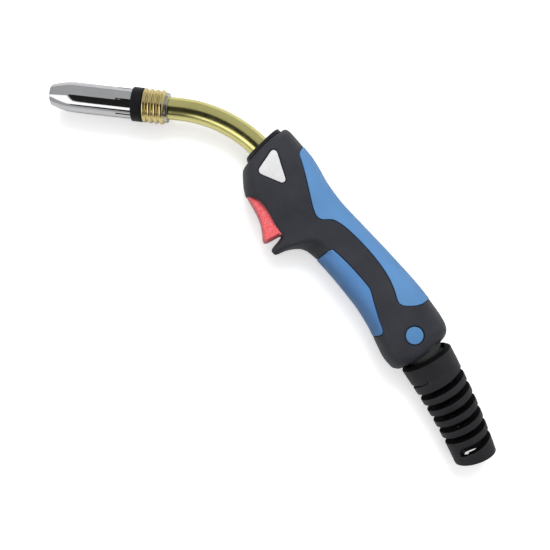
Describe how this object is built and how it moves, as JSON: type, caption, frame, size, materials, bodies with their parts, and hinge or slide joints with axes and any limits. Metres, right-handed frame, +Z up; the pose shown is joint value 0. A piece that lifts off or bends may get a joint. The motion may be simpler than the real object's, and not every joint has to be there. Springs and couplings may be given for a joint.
{
  "type": "welding torch",
  "caption": "Hand-held gas-shielded wire welding torch with a swan neck, conical nozzle, trigger handle and spiral rubber cable support; no cable.",
  "frame": {"origin": "middle of the flat on the right cheek that the torch lies on, at the height of the table", "axes": "+X back along the handle to the cable end, +Y to the handle's spine, +Z up from the table to the left cheek"},
  "size_m": [0.403, 0.1185, 0.0401],
  "materials": {
    "nozzle_chrome": "polished, cylindrical brushing",
    "tip_copper": "turned copper",
    "holder_brass": "turned",
    "diffuser_ceramic": "off-white, matt",
    "insulator_black": "satin, glass-filled",
    "head_brass": "turned, lacquered",
    "neck_brass": "polished, yellow-green plating",
    "inner_insulation": "natural",
    "core_copper": "drawn copper",
    "liner_steel": "wound steel wire",
    "shell_black": "satin black, fine grain",
    "grip_back": "soft blue rubber, matt",
    "grip_belly": "soft blue rubber, matt",
    "badge_white": "smooth, bare",
    "plug_blue": "satin",
    "screw_steel": "zinc plated",
    "trigger_red": "fine eroded grain",
    "switch_black": "satin",
    "plunger_red": "satin",
    "terminal_tin": "tinned",
    "lead_blue": "PVC insulation",
    "ring_black": "black acetal",
    "ball_black": "satin",
    "support_rubber": "satin black rubber"
  },
  "bodies": {
    "torch": {"contact_tip": "tip_copper", "tip_holder": "holder_brass", "gas_diffuser": "diffuser_ceramic", "nozzle_seat": "insulator_black", "insulating_ring": "insulator_black", "ribbed_body": "head_brass", "neck_tube": "neck_brass", "neck_insulation": "inner_insulation", "neck_core": "core_copper", "wire_liner": "liner_steel", "nose_collar": "shell_black", "handle_left_shell": "shell_black", "handle_right_shell": "shell_black", "back_grip_left": "grip_back", "back_grip_right": "grip_back", "belly_grip_left": "grip_belly", "belly_grip_right": "grip_belly", "badge_plate": "badge_white", "side_plug": "plug_blue", "shell_screws": "screw_steel", "trigger_pin": "screw_steel", "microswitch": "switch_black", "switch_terminals": "terminal_tin", "switch_leads": "lead_blue", "power_block": "head_brass"},
    "nozzle": {"gas_nozzle": "nozzle_chrome"},
    "trigger": {"trigger": "trigger_red"},
    "plunger": {"switch_plunger": "plunger_red"},
    "socket": {"socket_ring": "ring_black"},
    "support": {"ball_knuckle": "ball_black", "cable_support": "support_rubber"}
  },
  "joints": [
    {"name": "trigger_pivot", "type": "hinge", "parent": "torch", "child": "trigger", "pos_m": [0.0005, -0.0188, 0.02], "axis": [0, 0, 1], "range_deg": [0, 4.5], "stiffness_Nm_per_rad": 1, "springref_deg": -2.86},
    {"name": "plunger_travel", "type": "slide", "parent": "torch", "child": "plunger", "axis": [0, 1, 0], "range_m": [0, 0.0018]},
    {"name": "nozzle_pull_off", "type": "slide", "parent": "torch", "child": "nozzle", "axis": [-0.7254, -0.6884, 0], "range_m": [0, 0.064]},
    {"name": "support_swivel", "type": "hinge", "parent": "torch", "child": "socket", "pos_m": [0.15442, 0.00137, 0.02], "axis": [0.9956, -0.0941, 0], "continuous": true},
    {"name": "support_tilt", "type": "hinge", "parent": "socket", "child": "support", "pos_m": [0.15442, 0.00137, 0.02], "axis": [-0.0553, -0.585, 0.8091], "range_deg": [-1.6, 11.4]}
  ],
  "couplings": [
    {"joint": "plunger_travel", "follows": "trigger_pivot", "m_per_rad": 0.0227}
  ]
}
